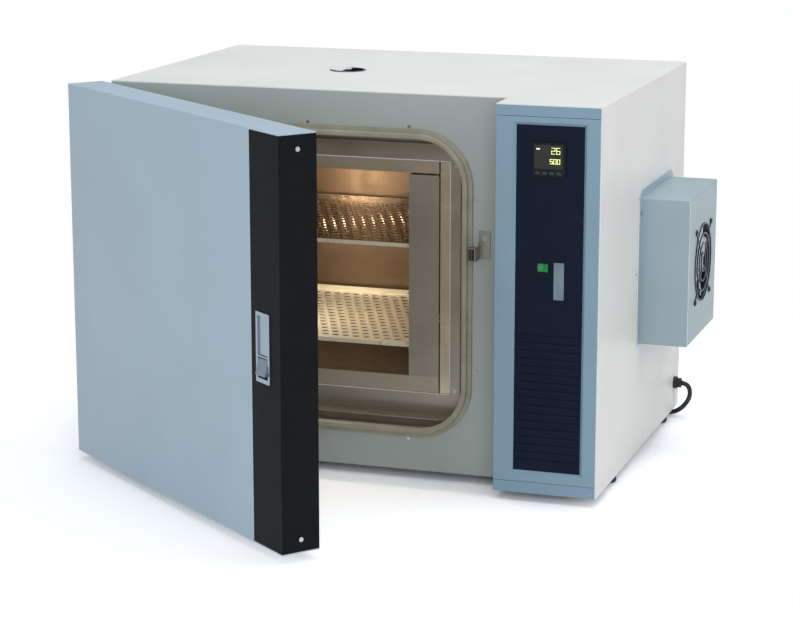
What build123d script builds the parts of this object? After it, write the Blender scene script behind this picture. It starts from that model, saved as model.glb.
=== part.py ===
from build123d import *
import math
import os

os.makedirs("parts", exist_ok=True)

# All sizes are in millimetres. The floor is z = 0, the front faces -Y, and the origin lies
# on the floor under the centre of the casing.

# Outer casing
casing_width = 750
casing_depth = 550
casing_height = 548
casing_sheet = 1.5
casing_bend = 2.5
bottom_return = 30
inner_sheet = 1.2
recess_depth = 60
column_width = 148
foot_height = 12
foot_diameter = 24
foot_side_inset = 14
foot_front_inset = 133
foot_back_inset = 73
screw_head_height = 1.2
screw_head_radius = 3.2

# Control column
rail_height = 16
rail_return = 20
seam_gap = 0.6
frame_thickness = 4
frame_border = 9.4
frame_side = 22
window_bevel = 4
window_shift = 1.7
window_rise = 2
fascia_thickness = 3
fascia_overlap = 8
rib_start = 15
rib_pitch = 11.2
rib_height = 5
rib_depth = 1.2
rib_width = 88
rib_clearance = 40
controller_size = 48
controller_body = 44.4
controller_depth = 90
controller_drop = 51
controller_proud = 3
controller_shift = -2
controller_corner = 1.5
display_border = 4
display_height = 33
display_rise = 4
display_recess = 1.2
display_sink = 0.4
key_width = 7
key_height = 4
key_depth = 2.3
key_pitch = 10
key_drop = 18
key_travel = 0.8
rocker_width = 15.5
rocker_height = 11.6
rocker_drop = 201.2
rocker_shift = -8.2
rocker_tilt = 7
rocker_pivot = 4
rocker_pin = 1
housing_border = 1.5
housing_proud = 1.6
housing_depth = 20
strip_width = 14.3
strip_height = 52
strip_drop = 219
strip_shift = 14.4
strip_thickness = 1.5
chassis_margin = 12
chassis_setback = 130
chassis_foot = 20
chassis_sheet = 2
chassis_height = 190
transformer = (8, 52, 30, 60, 50)
relay_box = (70, 45, 30, 90, 40)
terminal_strip = (8, 102, 135, 35, 30)
louvre_length = 70
louvre_height = 3
louvre_pitch = 12
louvre_count = 8
louvre_low = 90
louvre_high = 380

# Oven mouth: throat, seal and inner opening
mouth_width = 454
mouth_height = 400
channel_width = 10
channel_depth = 30
channel_well = 3
throat_flange = 15
sleeve_setback = 15
throat_depth = 52
panel_corner = 66
seal_width = 14
seal_height = 10
seal_bulb = 8
seal_shoulder = 4
seal_round = 2.5
panel_screw_radius = 2.2
panel_screw_gap = 3
panel_screw_pitch_x = 151.5
panel_screw_pitch_z = 124.2
panel_screw_shift_x = 5
panel_screw_shift_z = 3.4
flange_screw_inset = 17
flange_screw_radius = 2.5
flange_screw_drop = 7
small_head = 1
inner_width = 406
inner_height = 344
liner_depth = 350
liner_flange = 12
lip_strip = 16

# Working chamber inside the liner
chamber_width = 305
chamber_height = 300
chamber_depth = 338
chamber_left = 37.5
chamber_floor = 24.5
duct_gap = 2.5
header_right = 18
duct_hole = 7
duct_hole_pitch = 16
duct_hole_rings = 3
duct_slot = 3
duct_slot_pitch = 8
duct_slot_rows = 5
duct_slot_low = 24
duct_slot_high = 242
duct_slot_front = 60
duct_slot_length = 240
runner_width = 9
runner_post = 14
runner_post_low = 10
runner_post_high = 20
runner_count = 4
runner_pitch = 74
runner_first = 45.5
runner_front = 17
runner_length = 304
shelf_clearance = 1.5
shelf_depth = 314
shelf_setback = 12
shelf_front_lip = 6
shelf_back_lip = 8
shelf_hole = 15
shelf_hole_pitch = 32
shelf_rim = 14
probe_radius = 2
probe_collar = 6
probe_depth = 88
probe_level = 219
probe_reach = 20

# Air circulation and motor cooling
fan_depth = 237
fan_rise = 1
shaft_radius = 6
shaft_fit = 38
impeller_radius = 74
impeller_width = 30
impeller_plate = 2
impeller_hub = 14
impeller_blades = 12
impeller_gap = 6
element_radius = 86
element_tube = 4
element_terminal = 10
element_setback = 22
element_lead = 40
element_elbow = 0.8
collar_height = 3
motor_radius = 48
motor_length = 138
motor_setback = 40
motor_nose = 6
motor_post = 5
motor_box_depth = 73
motor_box_length = 200
motor_box_height = 218
motor_box_flange = 16
motor_box_top_flange = 11
motor_opening = 150
motor_screw_gap = 5
motor_screw_inset = 22
cooling_fan_size = 119
cooling_fan_corner = 8
cooling_fan_bore = 57
cooling_fan_thickness = 25
cooling_hub = 21
cooling_pin = 2
cooling_strut = 3
blade_count = 7
blade_chord = 30
blade_pitch = 55
blade_thickness = 1.6
guard_rings = 4
guard_inner = 14
guard_wire = 0.9
guard_screw_pitch = 104.8
guard_eye = 4.5

# Exhaust vent on the top
vent_shift = -13
vent_depth = 170
vent_bore = 24
vent_wall = 1.5
vent_flange = 27
vent_flange_height = 1
vent_disc_gap = 1
vent_disc_height = 1.6
vent_pin = 2
vent_boss = 6

# Door
door_gap = 2
door_thickness = 56
door_open = 38.5
door_lip = 42
door_lip_depth = 6.3
door_front_trim = 73
door_joint_left = 14
door_joint_right = 10
door_screw_low = 18
door_screw_high = 20
hinge_offset = 15
hinge_depth = 64
hinge_radius = 9
hinge_pin = 3.5
hinge_knuckle = 25
hinge_leaf = 3
hinge_leaf_length = 46
hinge_web = 12
hinge_tail = 6
hinge_inset = 70
plug_width = 356
plug_height = 320
plug_depth = 85
plug_rim = 15

# Door latch and keeper
handle_inset = 42.2
handle_drop = 6.2
escutcheon_width = 34.2
escutcheon_height = 92.5
escutcheon_rim = 4.6
escutcheon_depth = 12
escutcheon_proud = 1.5
escutcheon_floor = 3
dish_depth = 2
paddle_height = 26
paddle_thickness = 2.6
paddle_barrel = 2.8
paddle_release = 14
paddle_axle = 1.5
paddle_axle_depth = 4
paddle_lever = 20
paddle_lever_width = 4
drive_pin = 8
latch_travel = 7
latch_plate = 3
latch_plate_y = 22
latch_left = 20
latch_right = 6
latch_hook_half = 6
latch_arm_gap = 8
latch_hook_gap = 2
latch_arm = 6
guide_radius = 2
guide_slack = 0.3
guide_low = 18
guide_high = 48
bracket_half = 14
bracket_plate = 4
bay_left = 26
bay_low = 63
bay_high = 47
pocket_left = 7
pocket_right = 25.5
pocket_low = 16
pocket_high = 34
keeper_inset = 43.5
keeper_depth = 38
keeper_rise = 54
keeper_plate_width = 17
keeper_plate_height = 38
keeper_sheet = 1.5
keeper_reach = 5
keeper_hole = 5
roller_radius = 4.5
roller_height = 16
roller_pin = 1.5

# Mains lead
cord_radius = 3.7
floor_gap = 0.1
gland_back = 33
gland_rise = 43
gland_radius = 9.6
gland_length = 12
gland_flange = 5
gland_thread = 8
gland_nut = 5
coil_mean_radius = 41
coil_layers = 3
coil_x = 215
coil_behind = 77
coil_lead_in = 26
coil_lead_out = 30
plug_relief = 12
plug_body_length = 50
plug_body_half = 25
plug_body_height = 20
plug_corner = 6
plug_pins = ((-11, 18), (11, 18), (0, 23))
plug_pin_half = 3
plug_pin_low = 8
plug_pin_high = 12

# Named clearances
running_fit = 0.05
seat_gap = 0.3
wool_gap = 0.4

# Datum lines
left_x = -casing_width / 2
right_x = casing_width / 2
front_y = -casing_depth / 2
back_y = casing_depth / 2
base_z = foot_height
top_z = foot_height + casing_height
panel_y = front_y + recess_depth
throat_back = panel_y + throat_depth
column_x = right_x - column_width
mouth_x = (left_x + column_x) / 2
mouth_z = base_z + casing_height / 2
door_right = column_x - door_gap
door_x = (left_x + door_right) / 2
floor_z = base_z + 2 * casing_sheet
hinge_x = left_x - hinge_offset
hinge_y = front_y + hinge_depth
fan_y = throat_back + fan_depth
fan_z = mouth_z + fan_rise
vent_x = mouth_x + vent_shift
vent_y = throat_back + vent_depth
gland_y = back_y - gland_back
gland_z = base_z + gland_rise
grip_x = door_right - handle_inset
grip_z = mouth_z - handle_drop
keeper_x = door_right - keeper_inset
keeper_y = front_y + keeper_depth
keeper_z = mouth_z + keeper_rise


def block(x0, x1, y0, y1, z0, z1):
    centre = Pos((x0 + x1) / 2, (y0 + y1) / 2, (z0 + z1) / 2)
    return centre * Box(x1 - x0, y1 - y0, z1 - z0)


def rod_x(radius, y, z, x0, x1):
    return Pos((x0 + x1) / 2, y, z) * Rot(0, 90, 0) * Cylinder(radius, x1 - x0)


def rod_y(radius, x, z, y0, y1):
    return Pos(x, (y0 + y1) / 2, z) * Rot(90, 0, 0) * Cylinder(radius, y1 - y0)


def rod_z(radius, x, y, z0, z1):
    return Pos(x, y, (z0 + z1) / 2) * Cylinder(radius, z1 - z0)


def front_prism(sketch, y0, y1):
    """A sketch drawn in X and Z, made solid from y0 back to y1."""
    return Pos(0, y1, 0) * extrude(Plane.XZ * sketch, amount=y1 - y0)


def side_prism(sketch, x0, x1):
    """A sketch drawn in Y and Z, made solid from x0 across to x1."""
    return Pos(x0, 0, 0) * extrude(Plane.YZ * sketch, amount=x1 - x0)


def window(width, height, x, z, y0, y1):
    """A square-cornered block centred on x and z, used for openings and plates."""
    return block(x - width / 2, x + width / 2, y0, y1, z - height / 2, z + height / 2)


def rounded(width, height, radius, x, z, y0, y1):
    return front_prism(Pos(x, z) * RectangleRounded(width, height, radius), y0, y1)


def opened(shape):
    """Turns a piece of the closed door about the hinge line to the standing pose."""
    to_hinge = Pos(hinge_x, hinge_y, 0)
    return to_hinge * Rot(0, 0, -door_open) * Pos(-hinge_x, -hinge_y, 0) * shape


def write(name, shape):
    export_step(shape, f"parts/{name}.step")


# Casing: one folded sheet for both sides and the top
casing = block(left_x, right_x, panel_y, back_y, base_z, top_z)
casing += block(column_x, right_x, front_y, panel_y, base_z, top_z)
top_edges = [
    edge
    for edge in casing.edges().filter_by(Axis.Y)
    if edge.center().Z > top_z - 1 and abs(abs(edge.center().X) - right_x) < 1
]
casing = fillet(top_edges, casing_bend)
casing -= block(left_x + casing_sheet, right_x - casing_sheet, front_y - 1, back_y + 1,
                base_z - 1, top_z - casing_sheet)
for side in (-1, 1):
    start = side * (right_x - casing_sheet)
    end = start - side * bottom_return
    casing += block(min(start, end), max(start, end), panel_y + casing_sheet,
                    back_y - casing_sheet, base_z, base_z + casing_sheet)
casing -= block(right_x - 2 * casing_sheet, right_x + 1, fan_y - motor_opening / 2,
                fan_y + motor_opening / 2, fan_z - motor_opening / 2, fan_z + motor_opening / 2)
casing -= rod_x(gland_thread + seat_gap, gland_y, gland_z, right_x - 5, right_x + 5)
casing -= rod_z(vent_bore + vent_wall + seat_gap, vent_x, vent_y, top_z - 5, top_z + 5)
write("casing_wrap", casing)

# Floor pan: a tray following the L-shaped plan
pan = block(left_x + casing_sheet, right_x - casing_sheet, panel_y + casing_sheet,
            back_y - casing_sheet, base_z + casing_sheet, floor_z)
pan += block(column_x, right_x - casing_sheet, front_y + casing_sheet,
             panel_y + casing_sheet, base_z + casing_sheet, floor_z)
write("base_pan", pan)

# Rubber feet
foot_x = right_x - foot_side_inset
foot_rows = (front_y + foot_front_inset, back_y - foot_back_inset)
feet = Part()
for x in (-foot_x, foot_x):
    for y in foot_rows:
        foot = rod_z(foot_diameter / 2, x, y, 0, foot_height)
        feet += chamfer(foot.edges().group_by(Axis.Z)[0], 1.5)
write("feet", feet)

# Back panel with cooling louvres behind the control column
back = block(left_x + casing_sheet, right_x - casing_sheet, back_y - casing_sheet, back_y,
             base_z, top_z - casing_sheet)
louvre_x = (column_x + right_x) / 2
for level in (louvre_low, louvre_high):
    for row in range(louvre_count):
        z = base_z + level + row * louvre_pitch
        back -= window(louvre_length, louvre_height, louvre_x, z, back_y - 5, back_y + 5)
write("back_panel", back)

# Front panel around the mouth
front = block(left_x + casing_sheet, column_x, panel_y, panel_y + casing_sheet,
              base_z, top_z - casing_sheet)
opening_width = mouth_width + 2 * channel_width
opening_height = mouth_height + 2 * channel_width
front -= rounded(opening_width, opening_height, panel_corner, mouth_x, mouth_z,
                 panel_y - 5, panel_y + 5)
write("front_panel", front)

# Wall between oven and control column
wall = block(column_x, column_x + inner_sheet, front_y + frame_thickness,
             back_y - casing_sheet, floor_z, top_z - casing_sheet)
wall -= block(column_x - 1, column_x + 5, panel_y, panel_y + casing_sheet, 0, floor_z)
wall -= rod_x(2 * shaft_radius, fan_y, fan_z, column_x - 1, column_x + 5)
write("column_wall", wall)

# Cross rails at the top and the foot of the column front
rails = Part()
for z0, z1, shelf_z in (
    (base_z, base_z + rail_height, base_z + rail_height - casing_sheet),
    (top_z - rail_height, top_z - casing_sheet, top_z - rail_height),
):
    rails += block(column_x, right_x - casing_sheet, front_y, front_y + casing_sheet, z0, z1)
    rails += block(column_x + inner_sheet, right_x - casing_sheet, front_y + casing_sheet,
                   front_y + rail_return, shelf_z, shelf_z + casing_sheet)
write("column_rails", rails)

# Column front frame with a bevelled window
frame_x = (column_x + right_x) / 2
frame_low = base_z + rail_height + seam_gap
frame_high = top_z - rail_height - seam_gap
frame = block(column_x, right_x - casing_sheet, front_y, front_y + frame_thickness,
              frame_low, frame_high)
window_width = column_width - 2 * frame_side
window_height = casing_height - 2 * (rail_height + seam_gap + frame_border)
window_x = frame_x + window_shift
window_z = mouth_z + window_rise
frame -= window(window_width - 2 * window_bevel, window_height - 2 * window_bevel, window_x,
                window_z, front_y - 5, front_y + 10)
bevel_edges = [
    edge for edge in frame.edges()
    if abs(edge.center().Y - front_y) < 0.1
    and abs(edge.center().X - window_x) < window_width / 2
    and abs(edge.center().Z - window_z) < window_height / 2
]
frame = chamfer(bevel_edges, window_bevel - 0.2)
write("column_front_frame", frame)

# Control fascia with a ribbed lower field
fascia_y = front_y + frame_thickness
fascia_w = window_width - 2 * window_bevel + 2 * fascia_overlap
fascia_h = window_height - 2 * window_bevel + 2 * fascia_overlap
window_low = window_z - window_height / 2
window_high = window_z + window_height / 2
strip_z = window_high - strip_drop
rib_room = strip_z - strip_height / 2 - rib_clearance - window_low - rib_start
fascia = window(fascia_w, fascia_h, window_x, window_z, fascia_y, fascia_y + fascia_thickness)
for n in range(int(rib_room / rib_pitch)):
    z = window_low + rib_start + n * rib_pitch + rib_height / 2
    fascia += window(rib_width, rib_height, window_x, z, fascia_y - rib_depth, fascia_y)
control_x = window_x + controller_shift
control_z = window_high - controller_drop
control_hole = controller_body + 2 * seat_gap
fascia -= window(control_hole, control_hole, control_x, control_z, fascia_y - 5, fascia_y + 10)
rocker_x = window_x + rocker_shift
rocker_z = window_high - rocker_drop
housing_w = rocker_width + 2 * housing_border
housing_h = rocker_height + 2 * housing_border
fascia -= window(housing_w - 1, housing_h - 1, rocker_x, rocker_z, fascia_y - 5, fascia_y + 10)
write("control_fascia", fascia)

strip = window(strip_width, strip_height, window_x + strip_shift, strip_z,
               fascia_y - strip_thickness, fascia_y)
strip = fillet(strip.edges().filter_by(Axis.Y), 1)
write("blanking_plate", strip)

# Temperature controller: square case, display window and four keys
case_front = fascia_y - controller_proud
case = window(controller_size, controller_size, control_x, control_z, case_front, fascia_y)
case = fillet(case.edges().filter_by(Axis.Y), controller_corner)
case = chamfer(case.edges().group_by(Axis.Y)[0], 0.8)
case += window(controller_body, controller_body, control_x, control_z, fascia_y,
               fascia_y + controller_depth)
display_width = controller_size - 2 * display_border
display_z = control_z + display_rise
key_z = control_z - key_drop
case -= window(display_width, display_height, control_x, display_z, case_front - 1,
               case_front + display_recess)
key_names = ("page", "scroll", "down", "up")
key_positions = [control_x + (n - 1.5) * key_pitch for n in range(len(key_names))]
for x in key_positions:
    case -= window(key_width + 2 * seat_gap, key_height + 2 * seat_gap, x, key_z,
                   case_front - 1, case_front + key_depth + 0.1)
write("controller_case", case)
write("controller_window", window(display_width, display_height, control_x, display_z,
                                  case_front + display_sink, case_front + display_recess))
for name, x in zip(key_names, key_positions):
    key = window(key_width, key_height, x, key_z, case_front - key_travel,
                 case_front + key_depth - key_travel)
    write(f"key_{name}", key)

# Power switch: housing through the fascia and a rocker on a cross pivot
housing = window(housing_w, housing_h, rocker_x, rocker_z, fascia_y - housing_proud, fascia_y)
housing += window(housing_w - 1.2, housing_h - 1.2, rocker_x, rocker_z, fascia_y,
                  fascia_y + housing_depth)
pocket_w = rocker_width + 1.4
pocket_h = rocker_height + 0.4
housing -= window(pocket_w, pocket_h, rocker_x, rocker_z, fascia_y - 3, fascia_y + 9)
rocker_pivot_y = fascia_y + rocker_pivot
pivot_reach = rocker_height / 2 + 1
housing -= rod_z(rocker_pin + running_fit, rocker_x, rocker_pivot_y, rocker_z - pivot_reach,
                 rocker_z + pivot_reach)
write("switch_housing", housing)
rocker_half = rocker_width / 2
rocker_profile = make_face(Polyline(
    (-rocker_half, -4.2), (0, -3), (rocker_half, -4.2), (rocker_half - 1.5, 1),
    (2, 2.6), (-2, 2.6), (-rocker_half + 1.5, 1), close=True))
rocker = Pos(0, 0, -rocker_height / 2) * extrude(rocker_profile, rocker_height)
rocker += rod_z(rocker_pin, 0, 0, -pivot_reach + 0.2, pivot_reach - 0.2)
write("power_rocker", Pos(rocker_x, rocker_pivot_y, rocker_z) * Rot(0, 0, -rocker_tilt) * rocker)

# Control chassis: an angle plate on the floor pan that carries the electrical parts,
# each given by left edge, width, height above the pan, height and depth
chassis_x0 = column_x + chassis_margin
chassis_x1 = right_x - chassis_margin
chassis_y = front_y + chassis_setback
chassis = block(chassis_x0, chassis_x1, chassis_y, chassis_y + chassis_foot, floor_z,
                floor_z + chassis_sheet)
chassis += block(chassis_x0, chassis_x1, chassis_y, chassis_y + chassis_sheet, floor_z,
                 floor_z + chassis_height)
for left, width, rise, height, depth in (transformer, relay_box, terminal_strip):
    chassis += block(chassis_x0 + left, chassis_x0 + left + width, chassis_y - depth, chassis_y,
                     floor_z + rise, floor_z + rise + height)
write("control_chassis", chassis)

# Throat: flange behind the panel, channel, sleeve and back flange
behind_panel = panel_y + casing_sheet
channel_floor = panel_y + channel_depth
sleeve_front = panel_y + sleeve_setback
t = inner_sheet
well_w = opening_width + 2 * channel_well
well_h = opening_height + 2 * channel_well
throat = window(well_w + 2 * throat_flange, well_h + 2 * throat_flange, mouth_x, mouth_z,
                behind_panel, behind_panel + t)
throat += window(well_w + 2 * t, well_h + 2 * t, mouth_x, mouth_z, behind_panel, channel_floor)
throat -= window(well_w, well_h, mouth_x, mouth_z, behind_panel - 1, channel_floor - t)
throat += window(mouth_width + 2 * t, mouth_height + 2 * t, mouth_x, mouth_z, sleeve_front,
                 throat_back)
throat -= window(mouth_width, mouth_height, mouth_x, mouth_z, sleeve_front - 1, throat_back - t)
throat -= window(inner_width, inner_height, mouth_x, mouth_z, throat_back - 5, throat_back + 5)
write("throat_frame", throat)

# Seal: a soft bulb on a base strip round the mouth
seal_w = opening_width + 2 * seal_width
seal_h = opening_height + 2 * seal_width
seal_corner = panel_corner + seal_width
bulb_w = opening_width + 2 * seal_bulb
bulb_h = opening_height + 2 * seal_bulb
seal = rounded(seal_w, seal_h, seal_corner, mouth_x, mouth_z, panel_y - seal_shoulder, panel_y)
seal += rounded(bulb_w, bulb_h, panel_corner + seal_bulb, mouth_x, mouth_z,
                panel_y - seal_height, panel_y)
seal -= rounded(opening_width, opening_height, panel_corner, mouth_x, mouth_z,
                panel_y - seal_height - 1, panel_y + 1)
ridge = seal.edges().group_by(Axis.Y)[0]
seal = fillet(ridge, seal_round)
write("door_seal", seal)

# Screws on the front panel just outside the seal, and on the throat's back flange
front_screws = Part()
screw_half_w = seal_w / 2 + panel_screw_gap
screw_half_h = seal_h / 2 + panel_screw_gap
for side in (-1, 1):
    for n in (-1, 0, 1):
        x = mouth_x + side * screw_half_w
        z = mouth_z + panel_screw_shift_z + n * panel_screw_pitch_z
        front_screws += rod_y(panel_screw_radius, x, z, panel_y - small_head, panel_y)
        x = mouth_x + panel_screw_shift_x + n * panel_screw_pitch_x
        z = mouth_z + side * screw_half_h
        front_screws += rod_y(panel_screw_radius, x, z, panel_y - small_head, panel_y)
flange_y = throat_back - t
for sx in (-1, 1):
    for sz in (-1, 1):
        x = mouth_x + sx * (mouth_width / 2 - flange_screw_inset)
        z = mouth_z + sz * (inner_height / 2 - flange_screw_drop)
        front_screws += rod_y(flange_screw_radius, x, z, flange_y - small_head, flange_y)
write("front_screws", front_screws)

# Liner: the outer box of the chamber, flanged at the front
liner_back = throat_back + liner_depth
liner = window(inner_width + 2 * t, inner_height + 2 * t, mouth_x, mouth_z, throat_back,
               liner_back + t)
liner += window(inner_width + 2 * liner_flange, inner_height + 2 * liner_flange, mouth_x,
                mouth_z, throat_back, throat_back + t)
liner -= window(inner_width, inner_height, mouth_x, mouth_z, throat_back - 1, liner_back)
liner_left = mouth_x - inner_width / 2
liner_right = mouth_x + inner_width / 2
liner_low = mouth_z - inner_height / 2
liner_high = mouth_z + inner_height / 2
liner += block(liner_right - lip_strip, liner_right, throat_back, throat_back + t, liner_low,
               liner_high)
probe_y = throat_back + probe_depth
probe_z = liner_low + chamber_floor + probe_level
liner -= rod_x(shaft_radius + 2, fan_y, fan_z, liner_right - 5, liner_right + 5)
liner -= rod_x(probe_radius + seat_gap, probe_y, probe_z, liner_right - 5, liner_right + 5)
terminal_z = fan_z + math.sqrt(element_radius**2 - element_terminal**2)
for side in (-1, 1):
    liner -= rod_x(element_tube + seat_gap, fan_y + side * element_terminal, terminal_z,
                   liner_right - 5, liner_right + 5)
liner -= rod_z(vent_bore + vent_wall + seat_gap, vent_x, vent_y, liner_high - 5,
               liner_high + 5)
write("chamber_liner", liner)

# Working chamber: C-shaped front, left wall, floor, ceiling and back in one folded piece
chamber_x0 = liner_left + chamber_left
chamber_x1 = chamber_x0 + chamber_width
chamber_z0 = liner_low + chamber_floor
chamber_z1 = chamber_z0 + chamber_height
chamber_back = throat_back + chamber_depth
plate_right = liner_right - header_right
chamber = block(liner_left, plate_right, throat_back, throat_back + t, liner_low, liner_high)
chamber -= block(chamber_x0, plate_right + 1, throat_back - 1, throat_back + 5, chamber_z0,
                 chamber_z1)
shell = block(chamber_x0 - t, plate_right, throat_back + t, chamber_back + t, chamber_z0 - t,
              chamber_z1 + t)
shell -= block(chamber_x0, plate_right + 1, throat_back - 1, chamber_back, chamber_z0,
               chamber_z1)
chamber += shell
chamber -= rod_z(vent_bore + vent_wall + seat_gap, vent_x, vent_y, chamber_z1 - 5,
                 chamber_z1 + 5)
write("working_chamber", chamber)

# Duct cover: front plate and side baffle with air slots
duct = block(chamber_x1, plate_right, throat_back, throat_back + t, chamber_z0,
             chamber_z1 - duct_gap)
duct += block(chamber_x1, chamber_x1 + t, throat_back + t, chamber_back, chamber_z0,
              chamber_z1 - duct_gap)
for ring in range(1, duct_hole_rings + 1):
    count = 6 * ring
    for n in range(count):
        angle = 2 * math.pi * n / count
        y = fan_y + duct_hole_pitch * ring * math.cos(angle)
        z = fan_z + duct_hole_pitch * ring * math.sin(angle)
        duct -= Pos(chamber_x1, y, z) * Box(10, duct_hole, duct_hole)
slot_y0 = throat_back + duct_slot_front
for row in range(duct_slot_rows):
    for level in (duct_slot_low, duct_slot_high):
        z = chamber_z0 + level + row * duct_slot_pitch
        duct -= block(chamber_x1 - 1, chamber_x1 + 5, slot_y0, slot_y0 + duct_slot_length,
                      z, z + duct_slot)
duct -= rod_x(probe_radius + seat_gap, probe_y, probe_z, chamber_x1 - 5, chamber_x1 + 5)
write("duct_cover", duct)

# Shelf runners on both side walls
runner_y0 = throat_back + runner_front
runner_levels = [chamber_z0 + runner_first + n * runner_pitch for n in range(runner_count)]
for name, wall_x, inward in (("runners_left", chamber_x0, 1), ("runners_right", chamber_x1, -1)):
    runners = Part()
    for y in (runner_y0, runner_y0 + runner_length - runner_post):
        x1 = wall_x + inward * t
        runners += block(min(wall_x, x1), max(wall_x, x1), y, y + runner_post,
                         chamber_z0 + runner_post_low, chamber_z1 - runner_post_high)
    for level in runner_levels:
        x1 = wall_x + inward * runner_width
        runners += block(min(wall_x, x1), max(wall_x, x1), runner_y0,
                         runner_y0 + runner_length, level - 2 * t, level - t)
    write(name, runners)

# Two perforated shelves, on the lowest and the third runners
shelf_y0 = throat_back + shelf_setback
shelf_y1 = shelf_y0 + shelf_depth
shelf_x0 = chamber_x0 + shelf_clearance
shelf_x1 = chamber_x1 - shelf_clearance
for name, level in (("shelf_lower", runner_levels[0]), ("shelf_upper", runner_levels[2])):
    shelf = block(shelf_x0, shelf_x1, shelf_y0, shelf_y1, level - t, level)
    shelf += block(shelf_x0, shelf_x1, shelf_y0, shelf_y0 + t, level - shelf_front_lip, level)
    shelf += block(shelf_x0, shelf_x1, shelf_y1 - t, shelf_y1, level, level + shelf_back_lip)
    columns = int((shelf_x1 - shelf_x0 - 2 * shelf_rim) // shelf_hole_pitch)
    rows = int((shelf_y1 - shelf_y0 - 2 * shelf_rim) // (shelf_hole_pitch / 2))
    holes = []
    for row in range(rows):
        for column in range(columns - row % 2):
            x = (shelf_x0 + shelf_x1) / 2
            x += (column - (columns - 1 - row % 2) / 2) * shelf_hole_pitch
            y = (shelf_y0 + shelf_y1) / 2 + (row - (rows - 1) / 2) * shelf_hole_pitch / 2
            holes.append(Pos(x, y) * Rot(0, 0, 45) * Rectangle(shelf_hole, shelf_hole))
    shelf -= Pos(0, 0, level - 2 * t) * extrude(Sketch() + holes, 3 * t)
    write(name, shelf)

# Mineral wool round the liner, standing on the floor pan
wool_x1 = column_x - wool_gap
wool = block(left_x + casing_sheet + wool_gap, wool_x1, throat_back + 12 + wool_gap,
             back_y - casing_sheet - wool_gap, floor_z, top_z - casing_sheet - wool_gap)
wool -= window(inner_width + 2 * (t + wool_gap), inner_height + 2 * (t + wool_gap), mouth_x,
               mouth_z, throat_back - 1, liner_back + t + wool_gap)
wool -= rod_x(2 * shaft_radius, fan_y, fan_z, liner_right - 5, wool_x1 + 1)
wool -= rod_x(4 * probe_radius, probe_y, probe_z, liner_right - 5, wool_x1 + 1)
wool -= block(liner_right - 5, wool_x1 + 1, fan_y - 20, fan_y + 20,
              fan_z + element_radius - 10, fan_z + element_radius + 10)
wool -= rod_z(vent_bore + vent_wall + wool_gap, vent_x, vent_y, liner_high - 5, top_z)
write("chamber_insulation", wool)

# Exhaust vent: tube, thin flange, a fixed half cover and the boss that carries the disc
vent = rod_z(vent_bore + vent_wall, vent_x, vent_y, chamber_z1, top_z)
vent += rod_z(vent_flange, vent_x, vent_y, top_z, top_z + vent_flange_height)
vent -= rod_z(vent_bore, vent_x, vent_y, chamber_z1 - 1, top_z + vent_flange_height + 1)
half_cover = rod_z(vent_bore + 0.5, vent_x, vent_y, top_z, top_z + vent_flange_height)
half_cover -= block(vent_x + vent_pin, vent_x + 60, vent_y - 60, vent_y + 60, top_z - 1, top_z + 9)
vent += half_cover
disc_z = top_z + vent_flange_height + vent_disc_gap
vent += rod_z(vent_boss, vent_x, vent_y, top_z, disc_z - seat_gap)
vent += rod_z(vent_pin, vent_x, vent_y, top_z, disc_z + vent_disc_height)
write("vent_chimney", vent)

# Damper: a half disc that turns on the boss and covers the open half of the vent
disc = rod_z(vent_flange - 1, vent_x, vent_y, disc_z, disc_z + vent_disc_height)
disc -= block(vent_x, vent_x + 60, vent_y - 60, vent_y + 60, disc_z - 1, disc_z + 10)
disc += rod_z(vent_boss, vent_x, vent_y, disc_z, disc_z + vent_disc_height)
disc -= rod_z(vent_pin + running_fit, vent_x, vent_y, disc_z - 1, disc_z + 9)
write("vent_damper", disc)

# Circulation fan: motor, shaft and radial impeller in the duct
impeller_x0 = chamber_x1 + t + impeller_gap
impeller_x1 = impeller_x0 + impeller_width
motor_x0 = column_x + motor_setback
motor = rod_x(motor_radius, fan_y, fan_z, motor_x0, motor_x0 + motor_length)
motor += rod_x(motor_radius / 2, fan_y, fan_z, motor_x0 - motor_nose, motor_x0)
post_circle = motor_radius - motor_post - 3
for n in range(4):
    angle = math.radians(45 + 90 * n)
    y = fan_y + post_circle * math.cos(angle)
    z = fan_z + post_circle * math.sin(angle)
    motor += rod_x(motor_post, y, z, column_x + inner_sheet, motor_x0)
motor -= rod_x(shaft_radius + running_fit, fan_y, fan_z, motor_x0 - 10, motor_x0 + shaft_fit + 2)
write("circulation_motor", motor)
shaft_x0 = impeller_x0 + impeller_plate
write("circulation_shaft", rod_x(shaft_radius, fan_y, fan_z, shaft_x0, motor_x0 + shaft_fit))
impeller = rod_x(impeller_radius, fan_y, fan_z, impeller_x1 - impeller_plate, impeller_x1)
impeller += rod_x(impeller_hub, fan_y, fan_z, shaft_x0, impeller_x1)
blade = block(impeller_x0, impeller_x1 - impeller_plate, -impeller_plate / 2, impeller_plate / 2,
              impeller_radius / 2, impeller_radius - 1)
for n in range(impeller_blades):
    impeller += Pos(0, fan_y, fan_z) * Rot(360 * n / impeller_blades, 0, 0) * blade
impeller -= rod_x(shaft_radius, fan_y, fan_z, impeller_x0 - 5, impeller_x1 + 5)
write("circulation_impeller", impeller)

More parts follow.
